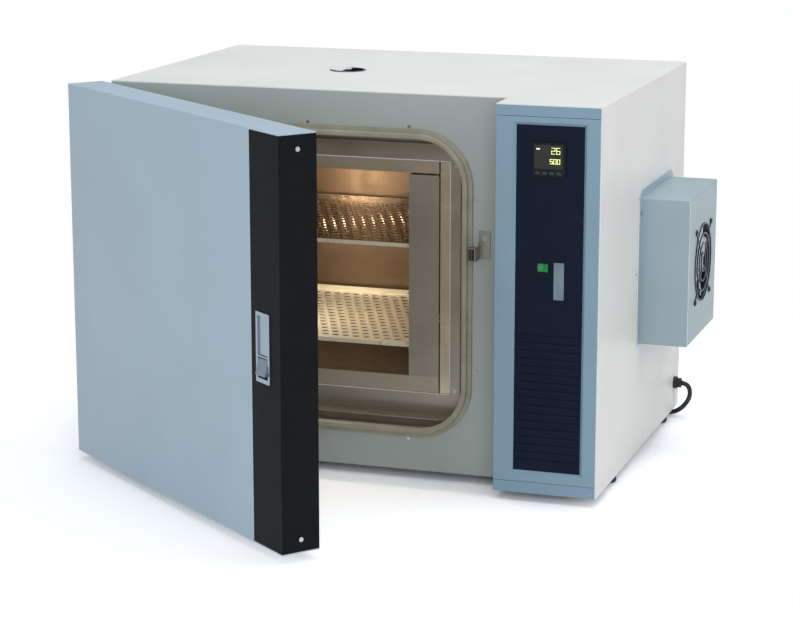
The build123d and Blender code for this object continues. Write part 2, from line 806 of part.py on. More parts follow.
# Ring heating element round the impeller, its two ends led out through the liner
element_x = chamber_x1 + t + element_setback
half_gap = math.degrees(math.asin(element_terminal / element_radius))
element_start = Pos(element_x, fan_y - element_terminal, terminal_z) * Rot(90 + half_gap, 0, 0)
element = revolve(element_start * Circle(element_tube),
                  axis=Axis((element_x, fan_y, fan_z), (1, 0, 0)),
                  revolution_arc=360 - 2 * half_gap)
collar_x = liner_right + t
for side in (-1, 1):
    y = fan_y + side * element_terminal
    element += Pos(element_x, y, terminal_z) * Sphere(element_tube + element_elbow)
    element += rod_x(element_tube, y, terminal_z, element_x, liner_right + element_lead)
    element += rod_x(2 * element_tube, y, terminal_z, collar_x, collar_x + collar_height)
write("heating_element", element)

# Temperature probe through the duct into the chamber
probe = rod_x(probe_radius, probe_y, probe_z, chamber_x1 - probe_reach, liner_right + 30)
probe += rod_x(probe_collar, probe_y, probe_z, collar_x, collar_x + collar_height)
write("temperature_probe", probe)

# Motor box on the right side, with flanges on the casing and a fan hole
box_y0 = fan_y - motor_box_length / 2
box_y1 = fan_y + motor_box_length / 2
box_z0 = fan_z - motor_box_height / 2
box_z1 = fan_z + motor_box_height / 2
box_x1 = right_x + motor_box_depth
box = block(right_x, box_x1, box_y0, box_y1, box_z0, box_z1)
box_edges = [edge for edge in box.edges() if edge.center().X > right_x + 1]
box = fillet(box_edges, casing_bend)
box -= block(right_x - 1, box_x1 - casing_sheet, box_y0 + casing_sheet, box_y1 - casing_sheet,
             box_z0 + casing_sheet, box_z1 - casing_sheet)
flange_profile = make_face(Polyline(
    (box_y0 - motor_box_flange, box_z0), (box_y1 + motor_box_flange, box_z0),
    (box_y1 + motor_box_flange, box_z1), (box_y1, box_z1 + motor_box_top_flange),
    (box_y0, box_z1 + motor_box_top_flange), (box_y0 - motor_box_flange, box_z1), close=True))
flange = side_prism(flange_profile, right_x, right_x + casing_sheet)
flange -= block(right_x - 1, right_x + 5, box_y0 + casing_sheet, box_y1 - casing_sheet,
                box_z0 + casing_sheet, box_z1 - casing_sheet)
box += flange
box -= rod_x(cooling_fan_bore + 1.5, fan_y, fan_z, box_x1 - 5, box_x1 + 5)
write("motor_box", box)

# Axial cooling fan inside the box: frame, rotor and wire guard
fan_face = box_x1 - casing_sheet
fan_back = fan_face - cooling_fan_thickness
to_fan = Pos(0, fan_y, fan_z)
fan_half = cooling_fan_size / 2
fan_frame = block(fan_back, fan_face, fan_y - fan_half, fan_y + fan_half, fan_z - fan_half,
                  fan_z + fan_half)
fan_frame = fillet(fan_frame.edges().filter_by(Axis.X), cooling_fan_corner)
fan_frame -= rod_x(cooling_fan_bore, fan_y, fan_z, fan_back - 1, fan_face + 1)
strut = block(fan_back, fan_back + cooling_strut, -cooling_strut, cooling_strut, 0,
              cooling_fan_bore + 1)
for n in range(3):
    fan_frame += to_fan * Rot(30 + 120 * n, 0, 0) * strut
fan_frame += rod_x(cooling_hub, fan_y, fan_z, fan_back, fan_back + cooling_strut + 1)
rotor_x0 = fan_back + cooling_strut + 1.6
rotor_x1 = fan_face - 1.5
fan_frame += rod_x(cooling_pin, fan_y, fan_z, fan_back, rotor_x0 + 11)
write("cooling_fan_frame", fan_frame)
rotor = rod_x(cooling_hub, fan_y, fan_z, rotor_x0, rotor_x1)
rotor = fillet(rotor.edges().group_by(Axis.X)[-1], 1.5)
rotor_middle = Pos((rotor_x0 + rotor_x1) / 2, fan_y, fan_z)
blade_length = cooling_fan_bore - cooling_hub
blade = Pos(0, 0, (cooling_hub + cooling_fan_bore) / 2 - 2) * Rot(0, 0, blade_pitch)
blade = blade * Box(blade_chord, blade_thickness, blade_length)
for n in range(blade_count):
    rotor += rotor_middle * Rot(360 * n / blade_count, 0, 0) * blade
rotor &= rod_x(cooling_fan_bore - 1, fan_y, fan_z, rotor_x0, rotor_x1)
rotor -= rod_x(cooling_pin + running_fit, fan_y, fan_z, rotor_x0 - 1, rotor_x0 + 12)
write("cooling_fan_rotor", rotor)
guard = Part()
guard_x0 = box_x1
guard_x1 = box_x1 + 2 * guard_wire
ring_step = (cooling_fan_bore + guard_wire - guard_inner) / (guard_rings - 1)
for n in range(guard_rings):
    radius = guard_inner + n * ring_step
    ring = rod_x(radius + guard_wire, fan_y, fan_z, guard_x0, guard_x1)
    guard += ring - rod_x(radius - guard_wire, fan_y, fan_z, guard_x0 - 5, guard_x1 + 5)
arm = guard_screw_pitch / math.sqrt(2)
spoke = block(guard_x0, guard_x1, -guard_wire, guard_wire, guard_inner - guard_wire / 2, arm)
spoke += rod_x(guard_eye, 0, arm, guard_x0, guard_x1)
spoke += rod_x(guard_eye - 1.5, 0, arm, guard_x1, guard_x1 + screw_head_height)
for n in range(4):
    guard += to_fan * Rot(45 + 90 * n, 0, 0) * spoke
write("fan_guard", guard)

# Keeper on the front panel: base plate, ear, two tabs and a pin carrying the roller
tab_gap = roller_height / 2 + seat_gap
ear_x = keeper_x + roller_radius + 1
tab_top = keeper_z + tab_gap
tab_low = keeper_z - tab_gap
ear_y = keeper_y - keeper_reach
keeper = block(ear_x - 1, ear_x - 1 + keeper_plate_width, panel_y - keeper_sheet, panel_y,
               tab_low - keeper_sheet, tab_low + keeper_plate_height)
keeper += block(ear_x, ear_x + keeper_sheet, ear_y, panel_y, tab_low - keeper_sheet,
                tab_top + keeper_sheet)
for z in (tab_low - keeper_sheet, tab_top):
    keeper += block(keeper_x - roller_radius + 0.5, ear_x, ear_y, keeper_y + keeper_reach, z,
                    z + keeper_sheet)
keeper += rod_z(roller_pin, keeper_x, keeper_y, tab_low, tab_top)
hole_z = tab_low + keeper_plate_height - 2 * keeper_hole
keeper -= rod_y(keeper_hole, ear_x + keeper_plate_width / 2 - 1, hole_z, panel_y - 5, panel_y + 5)
write("keeper_bracket", keeper)
roller_half = roller_height / 2
roller = rod_z(roller_radius, keeper_x, keeper_y, keeper_z - roller_half, keeper_z + roller_half)
roller -= rod_z(roller_pin + running_fit, keeper_x, keeper_y, keeper_z - 20, keeper_z + 20)
write("keeper_roller", roller)

# Hinges: cabinet leaves carry fixed pins, door leaves lift off them
pin_circle = Pos(hinge_x, hinge_y) * Circle(hinge_radius)
leaf_x = left_x - hinge_leaf
root = Rectangle(hinge_leaf, hinge_web)
web = make_hull((pin_circle + Pos(leaf_x + hinge_leaf / 2, hinge_y + 8) * root).edges())
door_web = make_hull((pin_circle + Pos(leaf_x + hinge_leaf / 2, hinge_y - 16) * root).edges())
cabinet_leaves = Part()
door_leaves = Part()
for z1 in (base_z + hinge_inset, top_z - hinge_inset):
    z0 = z1 - hinge_knuckle
    z2 = z1 + hinge_knuckle
    cabinet_leaves += Pos(0, 0, z0) * extrude(web, hinge_knuckle)
    cabinet_leaves += block(leaf_x, left_x, hinge_y + 2, hinge_y + hinge_leaf_length,
                            z0 - hinge_tail, z1)
    cabinet_leaves += rod_z(hinge_pin, hinge_x, hinge_y, z1, z2 - 3)
    leaf = Pos(0, 0, z1 + 0.5) * extrude(door_web, hinge_knuckle)
    leaf += block(leaf_x, left_x, hinge_y - hinge_leaf_length - 8, hinge_y - 10, z1 + 0.5,
                  z2 + 0.5 + hinge_tail)
    leaf -= rod_z(hinge_pin + running_fit, hinge_x, hinge_y, z1, z2 - 2)
    door_leaves += leaf
write("hinge_cabinet_leaves", cabinet_leaves)
write("hinge_door_leaves", opened(door_leaves))

# Door skin: front sheet, left edge, top and bottom edges, back lip with a return
door_back = front_y + door_thickness
s = casing_sheet
skin = block(left_x, door_right, front_y, door_back, base_z, top_z)
left_edges = [edge for edge in skin.edges()
              if edge.center().X < left_x + 1 and edge.center().Y < front_y + 1]
skin = fillet(left_edges, casing_bend)
skin -= block(left_x + s, door_right + 1, front_y + s, door_back - s, base_z + s, top_z - s)
lip_w = door_right - left_x - 2 * door_lip
lip_h = casing_height - 2 * door_lip
skin -= window(lip_w, lip_h, door_x, mouth_z, door_back - 5, door_back + 5)
lip_return = window(lip_w + 2 * s, lip_h + 2 * s, door_x, mouth_z, door_back - door_lip_depth,
                    door_back - s)
lip_return -= window(lip_w, lip_h, door_x, mouth_z, door_back - 20, door_back + 5)
skin += lip_return
trim_x0 = door_right - door_front_trim
skin -= block(trim_x0, door_right + 1, front_y - 1, front_y + s, base_z + s, top_z - s)
skin -= block(door_right - s, door_right + 1, front_y - 1, door_back + 1, base_z + s, top_z - s)
skin += block(trim_x0 - door_joint_left, trim_x0 + door_joint_right, front_y + s,
              front_y + 2 * s, base_z + s, top_z - s)
pocket_cut = block(keeper_x - pocket_left, keeper_x + pocket_right, keeper_y - 10,
                   door_back + 4, keeper_z - pocket_low, keeper_z + pocket_high)
skin -= pocket_cut
write("door_skin", opened(skin))

# Black trim: channel covering the latch edge of the door
trim = block(trim_x0, door_right, front_y, front_y + s, base_z + s, top_z - s)
trim += block(door_right - s, door_right, front_y, door_back, base_z + s, top_z - s)
hole_w = escutcheon_width - 4
hole_h = escutcheon_height - 4
trim -= window(hole_w, hole_h, grip_x, grip_z, front_y - 5, front_y + 5)
write("door_trim", opened(trim))
trim_screws = Part()
for z in (base_z + door_screw_low, top_z - door_screw_high):
    trim_screws += rod_x(screw_head_radius, front_y + door_thickness / 2, z, door_right,
                         door_right + small_head)
write("trim_screws", opened(trim_screws))

# Inner panel with the plug that enters the mouth
inner_back = door_back - door_lip_depth
plug_x = mouth_x
plug_back = front_y + plug_depth
inner = window(lip_w + 2 * plug_rim, lip_h + 2 * plug_rim, door_x, mouth_z, inner_back - t,
               inner_back)
inner += window(plug_width, plug_height, plug_x, mouth_z, inner_back, plug_back)
inner -= window(plug_width - 2 * t, plug_height - 2 * t, plug_x, mouth_z, inner_back - 5,
                plug_back - t)
inner -= pocket_cut
write("door_inner_panel", opened(inner))

# Door insulation, clear of the latch bay
core_y0 = front_y + 2 * s
core = block(left_x + s + wool_gap, door_right - s - wool_gap, core_y0, inner_back - t,
             base_z + s + wool_gap, top_z - s - wool_gap)
core += window(plug_width - 2 * t - 2 * wool_gap, plug_height - 2 * t - 2 * wool_gap, plug_x,
               mouth_z, inner_back - 5, plug_back - t - wool_gap)
core -= block(grip_x - bay_left, door_right + 5, front_y - 1, door_back + 4, grip_z - bay_low,
              keeper_z + bay_high)
write("door_core", opened(core))

# Flush handle: rim and dish, with a deep well for the paddle
handle_front = front_y - escutcheon_proud
handle_back = front_y + escutcheon_depth
handle = window(escutcheon_width, escutcheon_height, grip_x, grip_z, handle_front, front_y)
handle = fillet(handle.edges().filter_by(Axis.Y), 1)
handle += window(hole_w - 2 * seat_gap, hole_h - 2 * seat_gap, grip_x, grip_z, front_y,
                 handle_back)
dish_half = escutcheon_width / 2 - escutcheon_rim
well_low = grip_z - escutcheon_height / 2 + escutcheon_rim + 1
well_high = well_low + paddle_height + 2
handle -= block(grip_x - dish_half, grip_x + dish_half, front_y - 5, handle_front + dish_depth,
                well_high + 2, grip_z + escutcheon_height / 2 - escutcheon_rim)
handle -= block(grip_x - dish_half, grip_x + dish_half, front_y - 5,
                handle_back - escutcheon_floor, well_low, well_high)
axle_z = well_high - 4
axle_y = front_y + paddle_axle_depth
axle_half = dish_half + 2
handle -= rod_x(paddle_axle + running_fit, axle_y, axle_z, grip_x - axle_half, grip_x + axle_half)
handle -= block(grip_x - paddle_lever_width, grip_x + paddle_lever_width, front_y,
                handle_back + 1, axle_z - 9, axle_z + 3.5)
write("handle_escutcheon", opened(handle))

# Paddle: drawn pressed flush, then swung out to its released angle
paddle_half = dish_half - 0.6
lever_half = paddle_lever_width / 2
paddle = block(grip_x - paddle_half, grip_x + paddle_half, front_y - 1,
               front_y - 1 + paddle_thickness, axle_z - paddle_height + 5, axle_z)
paddle += rod_x(paddle_barrel, axle_y, axle_z, grip_x - paddle_half, grip_x + paddle_half)
paddle += block(grip_x - paddle_half, grip_x + paddle_half, front_y - 1, axle_y, axle_z - 2.5,
                axle_z + 1)
paddle += rod_x(paddle_axle, axle_y, axle_z, grip_x - axle_half + 0.4, grip_x + axle_half - 0.4)
paddle += block(grip_x - lever_half, grip_x + lever_half, axle_y, front_y + paddle_lever,
                axle_z - paddle_axle, axle_z + paddle_axle)
pin_y = front_y + paddle_lever - 1
paddle += rod_y(paddle_axle, grip_x, axle_z, pin_y, pin_y + drive_pin)


def released(shape):
    to_axle = Pos(0, axle_y, axle_z)
    return to_axle * Rot(-paddle_release, 0, 0) * Pos(0, -axle_y, -axle_z) * shape


write("latch_paddle", opened(released(paddle)))

# Latch bolt: a slotted plate with a hook that passes behind the keeper roller
plate_y0 = front_y + latch_plate_y
plate_y1 = plate_y0 + latch_plate
hook_z0 = keeper_z - latch_hook_half
hook_z1 = keeper_z + latch_hook_half
drive_reach = (plate_y0 + plate_y1) / 2 - axle_y
drive_z = axle_z - drive_reach * math.sin(math.radians(paddle_release))
bolt = block(grip_x - latch_left + 5, grip_x + latch_right, plate_y0, plate_y1, drive_z - 8,
             hook_z1)
bolt += block(grip_x - latch_left, grip_x - latch_right, plate_y0, plate_y1, hook_z0, hook_z1)
arm_x1 = keeper_x - roller_radius - latch_arm_gap
hook_y0 = keeper_y + roller_radius + 1
hook_y1 = hook_y0 + 4
bolt += block(arm_x1 - latch_arm, arm_x1, plate_y0, hook_y1, hook_z0, hook_z1)
bolt += block(arm_x1 - latch_arm, keeper_x - roller_radius - latch_hook_gap, hook_y0, hook_y1,
              hook_z0, hook_z1)
slot_length = math.hypot(latch_travel, axle_z - drive_z)
slot_angle = 180 - math.degrees(math.atan2(axle_z - drive_z, latch_travel))
slot_sketch = Pos(grip_x - latch_travel / 2, (drive_z + axle_z) / 2) * Rot(0, 0, slot_angle)
slot_sketch = slot_sketch * SlotOverall(slot_length + 2 * paddle_axle + 1.6,
                                        2 * paddle_axle + 1.4)
bolt -= front_prism(slot_sketch, plate_y0 - 5, plate_y1 + 5)
guide_x = grip_x - 1
guide_levels = (axle_z + guide_low, axle_z + guide_high)
for z in guide_levels:
    guide = Pos(guide_x - latch_travel / 2, z) * SlotOverall(
        latch_travel + 2 * (guide_radius + guide_slack), 2 * (guide_radius + running_fit))
    bolt -= front_prism(guide, plate_y0 - 5, plate_y1 + 5)
write("latch_bolt", opened(bolt))

# Latch bracket behind the handle, with two shouldered guide pins for the bolt
spacer_y = handle_back + bracket_plate
bracket = block(grip_x - bracket_half, grip_x + bracket_half, handle_back, spacer_y,
                axle_z + guide_low - 10, axle_z + guide_high - 8)
bracket += block(grip_x - bracket_half, grip_x + bracket_half, spacer_y, plate_y0 - seat_gap,
                 axle_z + guide_low - 8, axle_z + guide_high + 8)
for z in guide_levels:
    bracket += rod_y(guide_radius, guide_x, z, plate_y0 - seat_gap, plate_y1 + seat_gap)
    bracket += rod_y(guide_radius + 2, guide_x, z, plate_y1 + seat_gap, plate_y1 + 1.5)
write("latch_bracket", opened(bracket))

# Small screws on the motor box flanges, the right side and the back panel
screws = Part()
motor_screw_y = motor_box_length / 2 + motor_screw_gap
motor_screw_z = motor_box_height / 2 - motor_screw_inset
for side in (-1, 1):
    for level in (-1, 1):
        screws += rod_x(screw_head_radius, fan_y + side * motor_screw_y,
                        fan_z + level * motor_screw_z, right_x + s,
                        right_x + s + screw_head_height)
screws += rod_x(2, box_y0 - motor_box_flange - 6, mouth_z, right_x, right_x + small_head)
edge_inset = 20
for x in (left_x + edge_inset, mouth_x, column_x + chassis_margin, right_x - edge_inset):
    for z in (base_z + edge_inset, mouth_z, top_z - edge_inset):
        screws += rod_y(screw_head_radius, x, z, back_y, back_y + screw_head_height)
write("casing_screws", screws)

# Cable gland on the right side
gland_end = right_x + gland_length
gland = rod_x(gland_radius, gland_y, gland_z, right_x, right_x + gland_flange)
gland += rod_x(gland_radius - 2, gland_y, gland_z, right_x + gland_flange, gland_end)
gland += rod_x(gland_thread, gland_y, gland_z, right_x - s - gland_nut, right_x)
gland += rod_x(gland_radius + 2, gland_y, gland_z, right_x - s - gland_nut, right_x - s)
write("cable_gland", gland)

# Mains cord: straight runs joined by arcs, down the side, under the casing and out behind
lying_z = cord_radius + floor_gap
coil_y = back_y + coil_behind
lead_y = coil_y - coil_mean_radius - cord_radius
cord_points = [
    (gland_end, gland_y, gland_z),
    (right_x + 20.5, gland_y, gland_z - 1),
    (right_x + 26, gland_y, gland_z - 9.5),
    (right_x + 26, gland_y, gland_z - 22),
    (right_x + 20, gland_y, gland_z - 33.5),
    (right_x + 10.5, gland_y, gland_z - 43.5),
    (right_x - 2.5, gland_y + 1.5, gland_z - 50),
    (right_x - 20, gland_y + 6, lying_z),
    (right_x - 41, gland_y + 15, lying_z),
    (right_x - 63, gland_y + 29, lying_z),
    (right_x - 84, gland_y + 46, lying_z),
    (right_x - 102, gland_y + 59, lying_z),
    (right_x - 118, lead_y, lying_z),
    (coil_x + coil_lead_in, lead_y, lying_z),
]
vectors = [Vector(*p) for p in cord_points]
corner_radii = []
for before, corner, after in zip(vectors, vectors[1:], vectors[2:]):
    incoming = corner - before
    outgoing = after - corner
    half_turn = math.radians(incoming.get_angle(outgoing)) / 2
    shorter = min(incoming.length, outgoing.length)
    corner_radii.append(0.45 * shorter / math.tan(half_turn))
cord_path = FilletPolyline(*cord_points, radius=corner_radii)
cord_start = Plane(origin=cord_path @ 0, z_dir=cord_path % 0)
cord = sweep(cord_start * Circle(cord_radius), cord_path)
section = math.pi * cord_radius**2
print("cord runs", [round((b - a).length, 1) for a, b in zip(vectors, vectors[1:])])
print("cord radii", [round(r, 1) for r in corner_radii])
print("cord volume", round(cord.volume), "section x length", round(section * cord_path.length))
write("mains_cord", cord)

# Coil behind the casing, closed outside, with the two cord ends leaving it
coil_height = 2 * cord_radius * coil_layers
coil = rod_z(coil_mean_radius + 2 * cord_radius, coil_x, coil_y, 0, coil_height)
coil -= rod_z(coil_mean_radius - 2 * cord_radius, coil_x, coil_y, -1, coil_height + 1)
plug_y = coil_y + coil_mean_radius + cord_radius
plug_z = plug_body_height / 2
plug_x0 = coil_x + coil_lead_out
coil += rod_x(cord_radius, lead_y, lying_z, coil_x, coil_x + coil_lead_in)
coil += rod_x(cord_radius, plug_y, plug_z, coil_x, plug_x0)
turns = 2 * coil_layers
print("coil turns", turns, "length", round(turns * 2 * math.pi * coil_mean_radius))
write("cord_coil", coil)

# Plug with three flat pins, lying behind the casing
plug_x1 = plug_x0 + plug_relief
plug_x2 = plug_x1 + plug_body_length
plug = rod_x(cord_radius + 2, plug_y, plug_z, plug_x0, plug_x1)
plug_body = block(plug_x1, plug_x2, plug_y - plug_body_half, plug_y + plug_body_half, 0,
                  plug_body_height)
plug += fillet(plug_body.edges().filter_by(Axis.Z), plug_corner)
for y, length in plug_pins:
    plug += block(plug_x2, plug_x2 + length, plug_y + y - plug_pin_half,
                  plug_y + y + plug_pin_half, plug_pin_low, plug_pin_high)
write("mains_plug", plug)
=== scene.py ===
import math

import bmesh
import bpy
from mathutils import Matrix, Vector


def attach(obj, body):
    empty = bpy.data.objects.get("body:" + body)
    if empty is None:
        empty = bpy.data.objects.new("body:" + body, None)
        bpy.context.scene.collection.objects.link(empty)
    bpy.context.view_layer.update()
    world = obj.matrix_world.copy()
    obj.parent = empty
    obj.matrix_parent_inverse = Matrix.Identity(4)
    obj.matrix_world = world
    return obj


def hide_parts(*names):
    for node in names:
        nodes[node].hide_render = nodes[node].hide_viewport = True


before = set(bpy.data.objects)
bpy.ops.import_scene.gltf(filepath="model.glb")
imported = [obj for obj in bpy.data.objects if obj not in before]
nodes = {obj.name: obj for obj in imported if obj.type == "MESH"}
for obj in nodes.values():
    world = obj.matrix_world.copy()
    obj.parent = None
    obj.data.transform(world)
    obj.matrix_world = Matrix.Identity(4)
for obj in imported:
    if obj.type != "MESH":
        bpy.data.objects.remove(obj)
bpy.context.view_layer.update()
scene = bpy.context.scene
scene.view_settings.view_transform = "Standard"

# Camera of the photograph, in the part's frame
CAMERA_PLACE = (1.127, -3.411, 1.002)
CAMERA_PITCH = 12.64
CAMERA_YAW = 18.40
camera_data = bpy.data.cameras.new("camera")
camera = bpy.data.objects.new("camera", camera_data)
scene.collection.objects.link(camera)
scene.camera = camera
camera_data.lens = 109.5
camera_data.sensor_width = 36
camera.location = CAMERA_PLACE
camera.rotation_euler = (math.radians(90 - CAMERA_PITCH), 0, math.radians(CAMERA_YAW))
camera_data.clip_start = 0.05
camera_data.clip_end = 60


def linear(rgb):
    """sRGB numbers from 0 to 255 as linear colour."""
    out = []
    for c in rgb:
        c = c / 255
        out.append(c / 12.92 if c <= 0.04045 else ((c + 0.055) / 1.055) ** 2.4)
    return (*out, 1.0)


def shade(colour, factor):
    """A linear colour made lighter or darker."""
    return (*[min(1.0, c * factor) for c in colour[:3]], 1.0)


class Nodes:
    """A small helper round one material's node tree."""

    def __init__(self, name):
        self.material = bpy.data.materials.new(name)
        self.material.use_nodes = True
        self.tree = self.material.node_tree
        self.shader = self.tree.nodes["Principled BSDF"]
        self.coords = self.tree.nodes.new("ShaderNodeTexCoord").outputs["Object"]

    def new(self, kind, **values):
        node = self.tree.nodes.new(kind)
        for key, value in values.items():
            setattr(node, key, value)
        return node

    def link(self, a, b):
        self.tree.links.new(a, b)

    def mapped(self, scale):
        mapping = self.new("ShaderNodeMapping")
        mapping.inputs["Scale"].default_value = scale
        self.link(self.coords, mapping.inputs["Vector"])
        return mapping.outputs["Vector"]

    def noise(self, scale, stretch=(1, 1, 1), detail=3, rough=0.5):
        noise = self.new("ShaderNodeTexNoise")
        noise.inputs["Scale"].default_value = scale
        noise.inputs["Detail"].default_value = detail
        noise.inputs["Roughness"].default_value = rough
        self.link(self.mapped(stretch), noise.inputs["Vector"])
        return noise.outputs["Fac"]

    def ramp(self, fac, stops):
        ramp = self.new("ShaderNodeValToRGB")
        while len(ramp.color_ramp.elements) < len(stops):
            ramp.color_ramp.elements.new(0.5)
        for element, (place, colour) in zip(ramp.color_ramp.elements, stops):
            element.position = place
            element.color = colour
        self.link(fac, ramp.inputs["Fac"])
        return ramp.outputs["Color"]

    def spread(self, value, start, end, low=0.0, high=1.0):
        """A value between start and end, mapped to the range from low to high."""
        spread = self.new("ShaderNodeMapRange")
        spread.inputs["From Min"].default_value = start
        spread.inputs["From Max"].default_value = end
        spread.inputs["To Min"].default_value = low
        spread.inputs["To Max"].default_value = high
        self.link(value, spread.inputs["Value"])
        return spread.outputs["Result"]

    def math(self, operation, a, b):
        node = self.new("ShaderNodeMath", operation=operation)
        self.link(a, node.inputs[0])
        self.link(b, node.inputs[1])
        return node.outputs[0]

    def bump(self, fac, strength, distance):
        bump = self.new("ShaderNodeBump")
        bump.inputs["Strength"].default_value = strength
        bump.inputs["Distance"].default_value = distance
        self.link(fac, bump.inputs["Height"])
        self.link(bump.outputs["Normal"], self.shader.inputs["Normal"])

    def colour(self, output):
        self.link(output, self.shader.inputs["Base Color"])

    def rough(self, grain, low, high):
        """Gloss that follows a noise, whose values lie mostly between 0.3 and 0.7."""
        self.link(self.spread(grain, 0.3, 0.7, low, high), self.shader.inputs["Roughness"])

    def seen(self):
        """One for camera, mirror and glass rays, and nought for the rest."""
        path = self.new("ShaderNodeLightPath")
        direct = self.math("MAXIMUM", path.outputs["Is Camera Ray"],
                           path.outputs["Is Glossy Ray"])
        return self.math("MAXIMUM", direct, path.outputs["Is Transmission Ray"])


def paint(name, rgb, low=0.34, high=0.44):
    """Powder paint: faint large shading and a fine orange-peel skin."""
    n = Nodes(name)
    base = linear(rgb)
    cloud = n.noise(6, detail=2)
    n.colour(n.ramp(cloud, [(0.35, shade(base, 0.965)), (0.65, shade(base, 1.02))]))
    peel = n.noise(520, detail=2)
    n.rough(peel, low, high)
    n.bump(peel, 0.10, 0.0003)
    return n.material


def brushed(name, rgb, grain=(1, 1, 60), rough=(0.26, 0.40), tint=0.12, strength=0.10,
            metallic=1.0):
    """Brushed sheet: fine streaks across the stretched axis, in colour, gloss and bump."""
    n = Nodes(name)
    base = linear(rgb)
    streak = n.noise(22, stretch=grain, detail=5, rough=0.65)
    n.colour(n.ramp(streak, [(0.3, shade(base, 1 - tint)), (0.7, shade(base, 1 + tint))]))
    n.rough(streak, *rough)
    n.bump(streak, strength, 0.0002)
    n.shader.inputs["Metallic"].default_value = metallic
    return n.material


def moulded(name, rgb, rough=(0.40, 0.52), grain=900, strength=0.12, metallic=0.0,
            shine=0.5):
    """Moulded plastic or rubber: fine texture in gloss and bump, faint mottling."""
    n = Nodes(name)
    base = linear(rgb)
    mottle = n.noise(35, detail=3)
    n.colour(n.ramp(mottle, [(0.35, shade(base, 0.9)), (0.65, shade(base, 1.1))]))
    texture = n.noise(grain, detail=2)
    n.rough(texture, *rough)
    n.bump(texture, strength, 0.0002)
    n.shader.inputs["Metallic"].default_value = metallic
    n.shader.inputs["Specular IOR Level"].default_value = shine
    return n.material


def glowing(name, rgb, strength):
    """A lit display mark: emission with a faint uneven grain."""
    n = Nodes(name)
    base = linear(rgb)
    grain = n.noise(1500, detail=1)
    colour = n.ramp(grain, [(0.3, shade(base, 0.85)), (0.7, shade(base, 1.0))])
    n.colour(colour)
    n.link(colour, n.shader.inputs["Emission Color"])
    n.shader.inputs["Emission Strength"].default_value = strength
    n.shader.inputs["Roughness"].default_value = 0.5
    return n.material


# Where the chamber's steel turns from its pale front face to the browner inside, along Y; the
# brown inside is painted shade and warm lamplight
SHADE_START = -0.1632
SHADE_END = -0.1600


def shaded_chamber_sheet(name, front, inside):
    """Steel sheet that is pale at the mouth and browner inside, where the brown is painted shade
    and warm lamplight.
    """
    n = Nodes(name)
    split = n.new("ShaderNodeSeparateXYZ")
    n.link(n.coords, split.inputs["Vector"])
    depth = n.spread(split.outputs["Y"], SHADE_START, SHADE_END)
    n.colour(n.ramp(depth, [(0.0, linear(front)), (1.0, linear(inside))]))
    grain = n.noise(60, detail=4)
    n.rough(grain, 0.30, 0.42)
    n.bump(grain, 0.05, 0.0002)
    n.shader.inputs["Metallic"].default_value = 0.6
    return n.material


# Grain without a direction
EVEN = (1, 1, 1)

